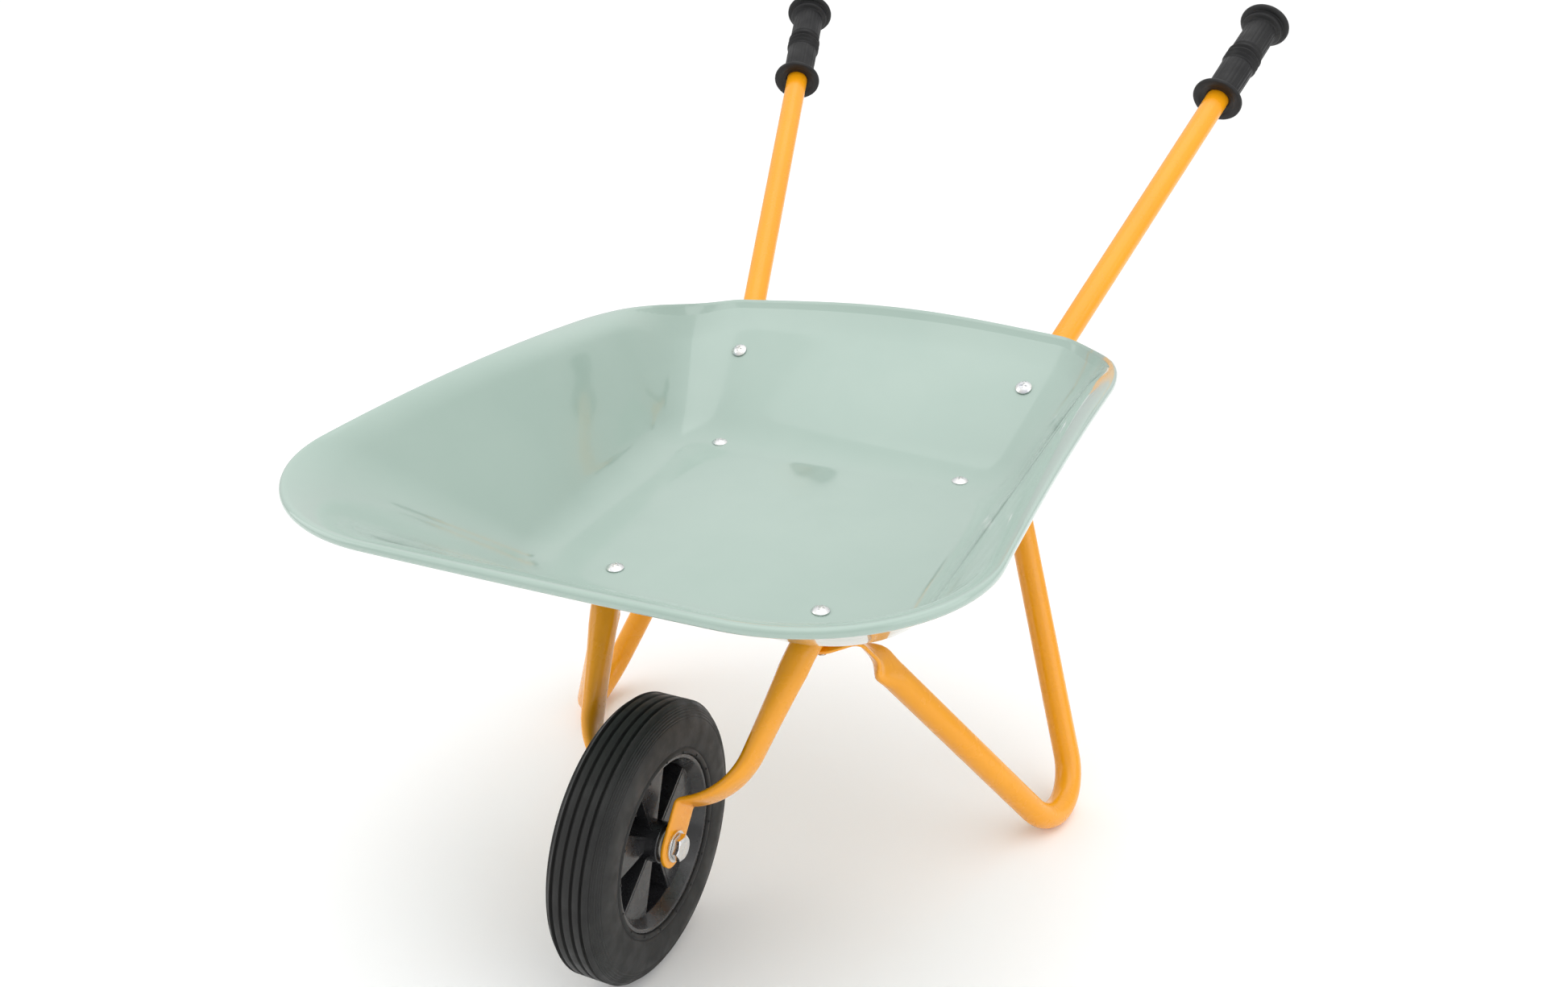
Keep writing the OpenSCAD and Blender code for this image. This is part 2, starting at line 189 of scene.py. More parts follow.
def join(*shapes):
    """Several (points, faces) shapes as one."""
    points, faces = [], []
    for shape_points, shape_faces in shapes:
        base = len(points)
        points.extend(shape_points)
        faces.extend(tuple(base + i for i in face) for face in shape_faces)
    return points, faces


def mirrored(points, side):
    return [(p[0], p[1] * side, p[2]) for p in points]


def rounded(profile, r, steps=4):
    """A closed profile with every corner rounded by about r, or less where an edge is short."""
    result = []
    n = len(profile)
    for i in range(n):
        p = vec(*profile[i])
        a = vec(*profile[i - 1])
        b = vec(*profile[(i + 1) % n])
        ra = min(r, np.linalg.norm(a - p) * 0.45)
        rb = min(r, np.linalg.norm(b - p) * 0.45)
        start, end = p + unit(a - p) * ra, p + unit(b - p) * rb
        for k in range(steps + 1):
            t = k / steps
            result.append(tuple(start * (1 - t) ** 2 + p * 2 * t * (1 - t) + end * t * t))
    return result


# ---------------------------------------------------------------- materials

def node_tools(name):
    material = bpy.data.materials.new(name)
    material.use_nodes = True
    tree = material.node_tree
    shader = tree.nodes["Principled BSDF"]
    place = tree.nodes.new("ShaderNodeTexCoord").outputs["Object"]

    def noise(scale, detail=2.0, stretch=(1, 1, 1), roughness=0.5):
        source = place
        if stretch != (1, 1, 1):
            mapping = tree.nodes.new("ShaderNodeMapping")
            mapping.inputs["Scale"].default_value = stretch
            tree.links.new(place, mapping.inputs["Vector"])
            source = mapping.outputs["Vector"]
        texture = tree.nodes.new("ShaderNodeTexNoise")
        texture.inputs["Scale"].default_value = scale
        texture.inputs["Detail"].default_value = detail
        texture.inputs["Roughness"].default_value = roughness
        tree.links.new(source, texture.inputs["Vector"])
        return texture.outputs["Fac"]

    def spread(value, low, high, from_low=0.35, from_high=0.65):
        scale = tree.nodes.new("ShaderNodeMapRange")
        scale.inputs["From Min"].default_value = from_low
        scale.inputs["From Max"].default_value = from_high
        scale.inputs["To Min"].default_value = low
        scale.inputs["To Max"].default_value = high
        tree.links.new(value, scale.inputs["Value"])
        return scale.outputs["Result"]

    def mix(factor, a, b):
        blend = tree.nodes.new("ShaderNodeMix")
        blend.data_type = "RGBA"
        tree.links.new(factor, blend.inputs["Factor"])
        for value, socket in ((a, blend.inputs[6]), (b, blend.inputs[7])):
            if isinstance(value, tuple):
                socket.default_value = (*value, 1)
            else:
                tree.links.new(value, socket)
        return blend.outputs[2]

    def bumps(*layers):
        """Stacks (height, depth in metres) layers and gives the result to the shader."""
        normal = None
        for height, depth in layers:
            bump = tree.nodes.new("ShaderNodeBump")
            bump.inputs["Strength"].default_value = 1
            bump.inputs["Distance"].default_value = depth
            tree.links.new(height, bump.inputs["Height"])
            if normal:
                tree.links.new(normal, bump.inputs["Normal"])
            normal = bump.outputs["Normal"]
        tree.links.new(normal, shader.inputs["Normal"])

    def link(value, socket):
        tree.links.new(value, shader.inputs[socket])

    return material, shader, noise, spread, mix, bumps, link


def paint(name, colour, shade, rough=0.16, coat=0.6, wave=0.0003):
    """Gloss paint on steel: soft waviness of the metal, orange peel in the paint, faintly uneven shade."""
    material, shader, noise, spread, mix, bumps, link = node_tools(name)
    shader.inputs["Coat Weight"].default_value = coat
    shader.inputs["Coat Roughness"].default_value = 0.05
    shader.inputs["Specular IOR Level"].default_value = 0.5
    link(mix(spread(noise(14, 3), 0, 1), colour, shade), "Base Color")
    link(spread(noise(60, 4), rough - 0.04, rough + 0.06), "Roughness")
    bumps((noise(9, 1), wave), (noise(500, 1), 0.000006))
    return material


def rubber(name, colour, dust, rough, grain=1800, grain_depth=0.00003):
    """Moulded rubber: fine grain, faint bloom and dust in patches."""
    material, shader, noise, spread, mix, bumps, link = node_tools(name)
    shader.inputs["Specular IOR Level"].default_value = 0.3
    link(mix(spread(noise(22, 5, roughness=0.65), 0, 0.7), colour, dust), "Base Color")
    link(spread(noise(90, 4), rough - 0.08, rough + 0.1), "Roughness")
    bumps((noise(30, 2), 0.00015), (noise(grain, 3), grain_depth))
    return material


def gloss_plastic(name):
    """Black moulded plastic with slight sink marks and flow lines."""
    material, shader, noise, spread, mix, bumps, link = node_tools(name)
    shader.inputs["Coat Weight"].default_value = 0.3
    shader.inputs["Coat Roughness"].default_value = 0.08
    link(mix(spread(noise(40, 3), 0, 1), (0.010, 0.010, 0.011), (0.022, 0.022, 0.024)), "Base Color")
    link(spread(noise(120, 4), 0.2, 0.34), "Roughness")
    bumps((noise(45, 1), 0.00012), (noise(1500, 2), 0.000006))
    return material


def nylon(name):
    """Natural nylon, slightly mottled."""
    material, shader, noise, spread, mix, bumps, link = node_tools(name)
    shader.inputs["Subsurface Weight"].default_value = 0.15
    shader.inputs["Subsurface Radius"].default_value = (0.002, 0.0015, 0.001)
    link(mix(spread(noise(150, 3), 0, 1), (0.62, 0.58, 0.50), (0.72, 0.69, 0.62)), "Base Color")
    link(spread(noise(300, 3), 0.38, 0.5), "Roughness")
    bumps((noise(900, 2), 0.00002),)
    return material


def zinc(name):
    """Bright zinc plate: rolled and turned steel with fine lines and a little blue and straw tint."""
    material, shader, noise, spread, mix, bumps, link = node_tools(name)
    shader.inputs["Metallic"].default_value = 1
    tint = mix(spread(noise(220, 3), 0, 1), (0.70, 0.71, 0.74), (0.80, 0.79, 0.76))
    link(tint, "Base Color")
    link(spread(noise(500, 4, (1, 1, 6)), 0.14, 0.32), "Roughness")
    bumps((noise(900, 3, (1, 1, 8)), 0.000012), (noise(260, 2), 0.00003))
    return material


MINT = (0.350, 0.455, 0.400)
MINT_SHADE = (0.335, 0.442, 0.387)
ORANGE = (0.88, 0.355, 0.003)
ORANGE_SHADE = (0.86, 0.340, 0.002)
tray_paint = paint("tray_paint", MINT, MINT_SHADE, rough=0.15, coat=0.8, wave=0.0009)
frame_paint = paint("frame_paint", ORANGE, ORANGE_SHADE, rough=0.25, coat=0.15, wave=0.0002)
grip_rubber = rubber("grip_rubber", (0.008, 0.008, 0.009), (0.013, 0.013, 0.013), 0.45)
tyre_rubber = rubber("tyre_rubber", (0.014, 0.014, 0.014), (0.022, 0.022, 0.021), 0.52, 1400, 0.00004)
hub_plastic = gloss_plastic("hub_plastic")
bush_nylon = nylon("bush_nylon")
zinc_steel = zinc("zinc_steel")
BY_SLOT = {"tray_paint": tray_paint, "frame_paint": frame_paint, "grip_rubber": grip_rubber,
           "tyre_rubber": tyre_rubber, "hub_plastic": hub_plastic, "bush_nylon": bush_nylon,
           "zinc_steel": zinc_steel}


# ---------------------------------------------------------------- frame lines

def floor_at(x):
    return FLOOR_Z - FLOOR_SLOPE * x


FLOOR_COS = 1 / math.hypot(1, FLOOR_SLOPE)
FLOOR_UP = vec(FLOOR_SLOPE, 0, 1) * FLOOR_COS
UNDER = SHEET_T + FIT_GAP + TUBE_R
TUBE_BEND = vec(-316, 99, floor_at(-316) - UNDER / FLOOR_COS * 1.055)
HANDLE = unit(vec(-690, 202, 503) - TUBE_BEND)
HANDLE_UP = unit(vec(HANDLE[2], 0, -HANDLE[0]))
FORK_DIR = vec(0.6, 0, -0.8)
FORK_SIDE = vec(0.8, 0, 0.6)
GRIP_START = 428.6
TAB_Y = TYRE_HALF_W + 2.5


def fork_at(s, y):
    return vec(0, y, TYRE_R) - FORK_DIR * s


FOLD_S = 27
FORK_KNEE = fork_at(38.5, 52)
FORK_FOLD = fork_at(FOLD_S, TAB_Y)
FORK_TIP = fork_at(0, TAB_Y)
FORK_TOP = vec(-85.6, 72.5, floor_at(-85.6) - UNDER / FLOOR_COS)
MAIN_END = TUBE_BEND + HANDLE * (GRIP_START + GRIP_LEN)


def main_y(x):
    return lerp(99, 72.5, (x + 316) / (316 - 85.6))


WALL_LIFT = 1.5
BACK_AT = TUBE_BEND + HANDLE * 90 + HANDLE_UP * (UNDER + WALL_LIFT)
REAR_AT = vec(-302, main_y(-302), floor_at(-302))
FRONT_AT = vec(-101, main_y(-101), floor_at(-101))


# ---------------------------------------------------------------- tray

CONIC_STEPS = 26
EDGE_STEPS = 14
FILLET = 22
LIP_REACH = 14


def conic(a, v, b):
    """Conic from a to b that leans to the corner v, without its first point."""
    points = []
    weight = math.sqrt(0.5)
    for i in range(1, CONIC_STEPS + 1):
        t = i / CONIC_STEPS
        pull = 2 * weight * t * (1 - t)
        points.append((a * (1 - t) ** 2 + v * pull + b * t * t) / ((1 - t) ** 2 + pull + t * t))
    return points


def edge(a, b):
    """Points from a to b, without a."""
    return [lerp(a, b, i / EDGE_STEPS) for i in range(1, EDGE_STEPS + 1)]


def outline(xf, xb, hf, hb, front_x, front_y, back_x, back_y):
    """Plan outline: front middle to rear middle along +Y, then back along -Y."""
    vf, vb = vec(xf, hf), vec(xb, hb)
    side = unit(vf - vb)
    f0, f1 = vec(xf, hf - front_y), vf - side * front_x
    b0, b1 = vb + side * back_x, vec(xb, hb - back_y)
    half = [vec(xf, 0), *edge(vec(xf, 0), f0), *conic(f0, vf, f1), *edge(f1, b0), *conic(b0, vb, b1)]
    half += edge(b1, vec(xb, 0))
    return half + [vec(p[0], -p[1]) for p in half[-2:0:-1]]


WALL_SLOPE = -HANDLE[2] / HANDLE[0]


def wall_plane(x):
    """Height of the rear wall's inner plane, which is parallel to the tubes behind it."""
    return floor_at(FLOOR_BACK) + WALL_SLOPE * (FLOOR_BACK - x)


def rim_point(p):
    """The rim above a plan point: bowed at both ends, highest halfway along."""
    s = (p[0] - RIM_BACK) / (RIM_FRONT - RIM_BACK)
    flat = max(0, 1 - (p[1] / RIM_HALF_BACK) ** 2)
    x = p[0] + 3 * flat * s ** 4 - 18 * flat * (1 - s) ** 4
    arched = lerp(323, 309, s) + 60 * s * (1 - s)
    return vec(x, p[1], lerp(arched, wall_plane(x) + 5.5, flat * (1 - s) ** 12))


def tray_station(plan_low, plan_top):
    """Inner section of the tray at one station, and the outward direction there."""
    low = vec(plan_low[0], plan_low[1], floor_at(plan_low[0]))
    top = rim_point(plan_top)
    out = unit(vec(top[0] - low[0], top[1] - low[1], 0))
    lip = top - out * LIP_REACH
    back = max(0, -out[0]) ** 6
    lip[2] = lerp(lip[2] - 3.5, wall_plane(lip[0]), back)
    inward = vec(out[0], out[1], -FLOOR_SLOPE * out[0])
    start, end = low - inward * FILLET, low + unit(lip - low) * FILLET
    centre = vec(-190, 0, floor_at(-190))
    section = [lerp(centre, start, f) for f in (0.002, 0.12, 0.3, 0.5, 0.7, 0.86, 0.95)]
    for i in range(11):
        t = i / 10
        section.append(start * (1 - t) ** 2 + low * 2 * t * (1 - t) + end * t * t)
    knee = lerp(lip, low, 0.1)
    section += [lerp(end, knee, f) for f in (0.15, 0.35, 0.55, 0.75, 0.9)]
    for i in range(11):
        t = i / 10
        section.append(knee * (1 - t) ** 2 + lip * 2 * t * (1 - t) + top * t * t)
    return section, out


def make_tray():
    rim_plan = outline(RIM_FRONT, RIM_BACK, RIM_HALF_FRONT, RIM_HALF_BACK, *RIM_CORNERS)
    floor_plan = outline(FLOOR_FRONT, FLOOR_BACK, FLOOR_HALF_FRONT, FLOOR_HALF_BACK, *FLOOR_CORNERS)
    sections, outs = zip(*[tray_station(a, b) for a, b in zip(floor_plan, rim_plan)])
    inner = np.array(sections)
    along = np.roll(inner, -1, 0) - np.roll(inner, 1, 0)
    down = np.gradient(inner, axis=1)
    normal = np.cross(along, down)
    normal /= np.linalg.norm(normal, axis=2, keepdims=True)
    outer = inner + normal * SHEET_T
    if outer[0, 0, 2] > inner[0, 0, 2]:
        outer = inner - normal * SHEET_T
    rings = [list(inner[:, j]) for j in range(inner.shape[1])]
    for q in range(75, -211, -15):
        turn = math.radians(q)
        rings.append([top + out * BEAD_R * math.cos(turn) + vec(0, 0, BEAD_R * (math.sin(turn) - 1))
                      for top, out in zip(inner[:, -1], outs)])
    rings += [list(outer[:, j]) for j in range(inner.shape[1] - 5, -1, -1)]
    points, faces = skin(rings)
    add_piece("tray_sheet", points, faces, "frame", tray_paint, ["tray"], sharp=50)


# ---------------------------------------------------------------- tubes

TUBE_SIDES = 48
PRESS_CURVE = 0.45


def tube_ring(place, direction, w, half_wide, half_thick, box=0.0):
    """Section of a tube; box runs from 0, an oval, to 1, a plate with rounded edges."""
    across = np.cross(direction, w)
    power = lerp(1, 0.42, box)
    ring = []
    for i in range(TUBE_SIDES):
        q = 2 * math.pi * i / TUBE_SIDES
        c, s = math.cos(q), math.sin(q)
        u = half_wide * math.copysign(abs(c) ** power, c)
        v = half_thick * math.copysign(abs(s) ** power, s)
        ring.append(place + w * u + across * v)
    return ring


def press_wide(f):
    return lerp(TUBE_R, TAB_HALF_W - 0.1, smooth(f) ** PRESS_CURVE)


def press_thick(f):
    return lerp(TUBE_R, TAB_HALF_T, smooth(f) ** PRESS_CURVE)


def tab_end(centre, direction, w):
    """Rings of a tab past the middle of its hole: the width closes on a half circle."""
    rings = []
    for i in range(1, 19):
        q = math.radians(89.5 * i / 18)
        reach = TAB_HALF_W * math.sin(q)
        half_wide = TAB_HALF_W * math.cos(q)
        rings.append(tube_ring(centre + direction * reach, direction, w, half_wide, TAB_HALF_T, 1))
    return rings


def make_main_tube(side_name):
    side = SIDES[side_name]
    press_start = lerp(FORK_TOP, FORK_KNEE, 0.2)
    knee = bend(press_start, FORK_KNEE, FORK_FOLD, 50, 24)
    fold = bend(FORK_KNEE, FORK_FOLD, FORK_TIP, 4, 8)
    rings = []
    round_stations = [(MAIN_END, -HANDLE), *bend(MAIN_END, TUBE_BEND, FORK_TOP, 27, 16),
                      *bend(TUBE_BEND, FORK_TOP, FORK_KNEE, 30, 16)]
    for place, direction in round_stations:
        rings.append(tube_ring(place, direction, square_to(FORK_SIDE, direction), TUBE_R, TUBE_R))
    # each stretch of the fork with the share of the pressing at its two ends
    stretches = [(straight(press_start, knee[0][0], 10), 0, 4 / 15), (knee[:-1], 4 / 15, 10 / 15),
                 (straight(knee[-1][0], fold[0][0], 3), 10 / 15, 11 / 15), (fold, 11 / 15, 14 / 15)]
    for stations, f0, f1 in stretches:
        for i, (place, direction) in enumerate(stations):
            f = lerp(f0, f1, i / len(stations))
            rings.append(tube_ring(place, direction, FORK_SIDE, press_wide(f), press_thick(f), smooth(f)))
    for s in (18, 8, 0):
        rings.append(tube_ring(fork_at(s, TAB_Y), FORK_DIR, FORK_SIDE, TAB_HALF_W, TAB_HALF_T, 1))
    rings += tab_end(FORK_TIP, FORK_DIR, FORK_SIDE)
    points, faces = skin(rings)
    node = "main_tube_" + side_name
    add_piece(node + "_skin", mirrored(points, side), faces, "frame", frame_paint, [node],
              sharp=55)


BELOW_TUBE = UNDER + TUBE_R + 0.3 + TAB_HALF_T
LEG_REAR_TAB = BACK_AT - HANDLE_UP * (BELOW_TUBE + WALL_LIFT)
LEG_FRONT_TAB = FRONT_AT - FLOOR_UP * BELOW_TUBE


def on_plane(tab, up, x, y):
    """Point of a tab's plane at x, y."""
    return vec(x, y, tab[2] - (x - tab[0]) * up[0] / up[2])


LEG_REAR = on_plane(LEG_REAR_TAB, HANDLE_UP, -381, 102)
LEG_FRONT = on_plane(LEG_FRONT_TAB, FLOOR_UP, -119, 87)
LEG_FOOT = vec(-278, 221, -38.25)
FOOT_R = 38
V_NORMAL = unit(np.cross(LEG_FOOT - LEG_REAR, LEG_FRONT - LEG_FOOT))


def leg_end(tab, top, plate_up):
    """Rings from the round tube up to the rounded end of the tab."""
    up, last = unit(top - LEG_FOOT), unit(tab - top)
    start, end = lerp(top, LEG_FOOT, 0.17), lerp(top, LEG_FOOT, 0.06)
    corner = bend(LEG_FOOT, top, tab, 14, 14)
    tube_side = np.cross(V_NORMAL, up)
    plate_side = np.cross(plate_up, last)
    if np.dot(plate_side, square_to(tube_side, last)) < 0:
        plate_side = -plate_side
    stretches = [(straight(start, end, 12), 0, 8 / 9), (straight(end, corner[0][0], 4), 8 / 9, 1),
                 (corner, 1, 1), (straight(corner[-1][0], lerp(top, tab, 0.6), 3), 1, 1)]
    rings = []
    for stations, f0, f1 in stretches:
        for i, (place, direction) in enumerate(stations):
            f = lerp(f0, f1, i / len(stations))
            turned = smooth(min(1, max(0, (f - 0.35) / 0.5)))
            w = square_to(lerp(tube_side, plate_side, turned), direction)
            rings.append(tube_ring(place, direction, w, press_wide(f), press_thick(f), smooth(f)))
    for f in (0.62, 0.8, 1):
        rings.append(tube_ring(lerp(top, tab, f), last, plate_side, TAB_HALF_W, TAB_HALF_T, 1))
    return rings + tab_end(tab, last, plate_side)


def make_leg(side_name):
    side = SIDES[side_name]
    rear = leg_end(LEG_REAR_TAB, LEG_REAR, HANDLE_UP)
    front = leg_end(LEG_FRONT_TAB, LEG_FRONT, FLOOR_UP)
    rings = list(reversed(rear))
    for place, direction in bend(LEG_REAR, LEG_FOOT, LEG_FRONT, FOOT_R, 30):
        rings.append(tube_ring(place, direction, np.cross(V_NORMAL, direction), TUBE_R, TUBE_R))
    rings += front
    points, faces = skin(aligned(rings))
    node = "leg_" + side_name
    add_piece(node + "_skin", mirrored(points, side), faces, "frame", frame_paint, [node],
              sharp=55)


def aligned(rings):
    """The rings, each started at the point nearest to the ring before, so that the skin has no twist."""
    result = [list(rings[0])]
    for ring in rings[1:]:
        last = np.array(result[-1])
        middle, before = np.mean(ring, 0), last.mean(0)
        best = None
        for order in (list(ring), list(reversed(ring))):
            flat = np.array(order)
            for k in range(0, len(ring)):
                turned = np.roll(flat, -k, 0)
                gap = np.linalg.norm((turned - middle) - (last - before))
                if best is None or gap < best[0]:
                    best = (gap, turned)
        result.append(list(best[1]))
    return result


# ---------------------------------------------------------------- grips

FLUTES = 22
GRIP_TURN = 264


def grip_profile():
    """(radius, height, flute depth) points from the hole at the inner flange to the closed end's middle."""
    body_start, body_end = 9, GRIP_LEN - 6
    middle = 2.5 + GRIP_LEN / 2
    points = [(TUBE_R + 0.1, 3), (TUBE_R + 0.6, 1.8), (TUBE_R + 1.6, 1.3), (14, 1.0), (14.6, 0.9),
              (15.2, 0.4), (16, 0.2), (FLANGE_R - 1.6, 0), (FLANGE_R - 0.6, 0.3), (FLANGE_R - 0.1, 1.1),
              (FLANGE_R, 2.2),
              (FLANGE_R - 0.2, 3.2), (FLANGE_R - 0.9, 3.9), (FLANGE_R - 2.2, 4.3), (17.5, 4.7), (15.6, 5.4),
              (14.5, 6.6), (13.9, 8)]
    points = [(r, h, 0) for r, h in points]
    for i in range(101):
        h = lerp(body_start, body_end, i / 100)
        ring = max(0, 1 - abs((h - middle + 7.5) % 5 - 2.5) / 2.5) if abs(h - middle) < 7.4 else 0
        near = abs(h - middle)
        swell = 0.25 * math.sin(math.pi * (h - body_start) / (body_end - body_start))
        flute = smooth(min(1, max(0, (near - 9.5) / 2.5))) * smooth(min(1, (body_end - h) / 4)) \
            * smooth(min(1, (h - body_start) / 4))
        groove = -0.9 if near < 8.6 else -0.9 * max(0, 1 - (near - 8.6) / 1.4)
        points.append((GRIP_R + swell + groove + 2.1 * smooth(ring), h, flute * 0.34))
    points += [(r, h, 0) for r, h in [
        (GRIP_R + 0.3, GRIP_LEN - 5.6), (14.6, GRIP_LEN - 5.1), (16.3, GRIP_LEN - 4.7),
        (16.9, GRIP_LEN - 4.0), (17, GRIP_LEN - 3), (17, GRIP_LEN - 0.5), (17.4, GRIP_LEN - 0.05),
        (FLANGE_R - 1.8, GRIP_LEN + 0.2),
        (FLANGE_R - 0.6, GRIP_LEN + 0.7), (FLANGE_R, GRIP_LEN + 1.8), (FLANGE_R, GRIP_LEN + 3),
        (FLANGE_R - 0.4, GRIP_LEN + 4.1), (FLANGE_R - 1.5, GRIP_LEN + 4.8), (FLANGE_R - 4, GRIP_LEN + 5),
        (8, GRIP_LEN + 5.2), (0.3, GRIP_LEN + 5.3)]]
    return points


def make_grip(side_name):
    side = SIDES[side_name]
    origin = TUBE_BEND + HANDLE * (GRIP_START - 2.5)
    start = square_to(vec(0, 0, 1), HANDLE)
    other = np.cross(HANDLE, start)
    rings = []
    for radius, height, flute in grip_profile():
        ring = []
        for i in range(GRIP_TURN):
            q = 2 * math.pi * i / GRIP_TURN
            r = radius - flute * (0.5 - 0.5 * math.cos(FLUTES * q)) ** 2
            ring.append(origin + HANDLE * height + (start * math.cos(q) + other * math.sin(q)) * r)
        rings.append(ring)
    points, faces = skin(rings)
    node = "grip_" + side_name
    add_piece(node + "_sleeve", mirrored(points, side), faces, "frame", grip_rubber, [node])


# ---------------------------------------------------------------- wheel

WHEEL_AXIS = vec(0, 1, 0)
WHEEL_START = vec(1, 0, 0)
WHEEL_CENTRE = vec(0, 0, TYRE_R)
NUBS = 17
NUB_R = 0.9
NUB_RISE = 0.6


def tyre_profile():
    """Half of the tyre's section, from the bead to the middle, as (radius, distance from the middle plane)."""
    w = TYRE_HALF_W
    half = [(SEAT_R + 2, w - 5), (SEAT_R + 0.1, w - 4), (SEAT_R + 0.1, w - 1.9), (SEAT_R + 0.5, w - 1.2),
            (SEAT_R + 1.2, w - 0.8), (SEAT_R + 2.2, w - 0.7), (SEAT_R + 3.0, w - 0.9),
            (SEAT_R + 3.5, w - 1.5),
            (SEAT_R + 4.0, w - 1.6), (SEAT_R + 4.6, w - 1.0), (SEAT_R + 6, w - 0.5), (SEAT_R + 9, w - 0.15),
            (SEAT_R + 12, w - 0.02)]
    ridges = 5
    ridge_from, ridge_to = 30, 70
    for q in range(0, 78, 1):
        turn = math.radians(q)
        r = TYRE_R - 18 + 16.5 * math.sin(turn)
        y = w - 8 + 8 * math.cos(turn)
        if ridge_from <= q <= ridge_to:
            wave = math.sin(math.pi * ridges * (q - ridge_from) / (ridge_to - ridge_from)) ** 2
            lift = 0.42 * (wave - 0.5)
            r += lift * math.sin(turn)
            y += lift * math.cos(turn)
        half.append((r, y))
    half += [(TYRE_R - 0.9, w - 7.4), (TYRE_R - 0.3, w - 7.8)]
    for y in (9.6, 3.4):
        half += [(TYRE_R, y + 1.5), (TYRE_R - 0.1, y + 1.2), (TYRE_R - 1.9, y + 0.7), (TYRE_R - 2.2, y + 0.4),
                 (TYRE_R - 2.2, y - 0.4), (TYRE_R - 1.9, y - 0.7), (TYRE_R - 0.1, y - 1.2), (TYRE_R, y - 1.5)]
    return half


def both_halves(half):
    return half + [(r, -y) for r, y in reversed(half)]


def nub(angle, y):
    """A small flash nub on the bead, as a squashed ball."""
    place = WHEEL_CENTRE + vec(math.cos(angle), 0, math.sin(angle)) * (SEAT_R + 1.4) + vec(0, y, 0)
    rings = []
    for i in range(1, 8):
        q = math.pi * i / 8
        rings.append([place + vec(math.sin(q) * math.cos(p) * NUB_R, -math.cos(q) * NUB_RISE,
                                  math.sin(q) * math.sin(p) * NUB_R)
                      for p in (2 * math.pi * k / 10 for k in range(10))])
    return skin(rings)


def make_tyre():
    shapes = [lathe(both_halves(tyre_profile()), WHEEL_CENTRE, WHEEL_AXIS, WHEEL_START, 240)]
    for side in (1, -1):
        for k in range(NUBS):
            shapes.append(nub(2 * math.pi * (k + 0.3 * side) / NUBS, side * (TYRE_HALF_W - 0.75)))
    points, faces = join(*shapes)
    add_piece("tyre_solid", points, faces, "wheel", tyre_rubber, ["tyre"], sharp=50)


PANEL_ANGLE = 36
PANEL_START = -2
WEB_Y = 9
WEB_T = 2.6
RIB_Y = 8.6
# distance from the middle of a rib, and the share of the way from one panel's height to the rib's
RIB_STEPS = [(-2.0, 0), (-1.5, 0.02), (-1.25, 0.08), (-1.12, 0.9), (-0.85, 1), (0, 1),
             (0.85, 1), (1.12, 0.9), (1.25, 0.08), (1.5, 0.02), (2.0, 0)]
PANEL_STEPS = (0.25, 0.5, 0.75)


def web_height(panel, face):
    """Height of a panel's surface seen from one face of the hub; panels lie by turns near and far."""
    near = (panel % 2 == 0) == (face > 0)
    return WEB_Y if near else -(WEB_Y - WEB_T)


def make_hub():
    radii = [12.4, 13.4, 16, 22, 30, 38, 44, 47, 49.6]
    faces_of_web = []
    for face in (1, -1):
        rings = []
        for r in radii:
            ring = []
            for k in range(10):
                here, before = web_height(k, face), web_height(k - 1, face)
                angle = math.radians(PANEL_START + PANEL_ANGLE * k)
                for offset, share in RIB_STEPS:
                    base = before if offset < 0 else here
                    ring.append((r, angle + offset / r, lerp(base, RIB_Y, share) * face))
                half_rib = 2.0 / r
                for f in PANEL_STEPS:
                    width = math.radians(PANEL_ANGLE) - 2 * half_rib
                    ring.append((r, angle + half_rib + width * f, here * face))
            rings.append([WHEEL_CENTRE + vec(math.cos(a) * radius, y, math.sin(a) * radius)
                          for radius, a, y in ring])
        faces_of_web.append(rings)
    web = skin(faces_of_web[0] + faces_of_web[1][::-1], looped=True)
    w = TYRE_HALF_W
    rim_half = [(SEAT_R - 7.5, 8), (SEAT_R - 2.6, w - 2.9), (SEAT_R - 2.2, w - 2.6), (SEAT_R - 0.5, w - 2.4),
                (SEAT_R - 0.1, w - 2.7), (SEAT_R - 0.1, w - 4.2), (SEAT_R + 1.8, w - 5.2)]
    rim = lathe(rounded(both_halves(rim_half), 0.5), WHEEL_CENTRE, WHEEL_AXIS, WHEEL_START, 192)
    boss_half = [(7.2, 17), (12.2, 17), (13, 16.2), (13, 4)]
    boss = lathe(rounded(both_halves(boss_half), 0.4), WHEEL_CENTRE, WHEEL_AXIS, WHEEL_START, 96)
    points, faces = join(web, rim, boss)
    add_piece("hub_moulding", points, faces, "wheel", hub_plastic, ["wheel_hub"], sharp=35)


# ---------------------------------------------------------------- fasteners

def frame_of(up):
    """Two directions square to up and to each other."""
    start = square_to(vec(0, 1, 0) if abs(up[1]) < 0.9 else vec(1, 0, 0), up)
    return start, np.cross(up, start)


def polar(origin, up, rings):
    """A skin over rings given as lists of (radius, angle, height)."""
    start, other = frame_of(up)
    return skin([[origin + up * h + (start * math.cos(a) + other * math.sin(a)) * r for r, a, h in ring]
                 for ring in rings])


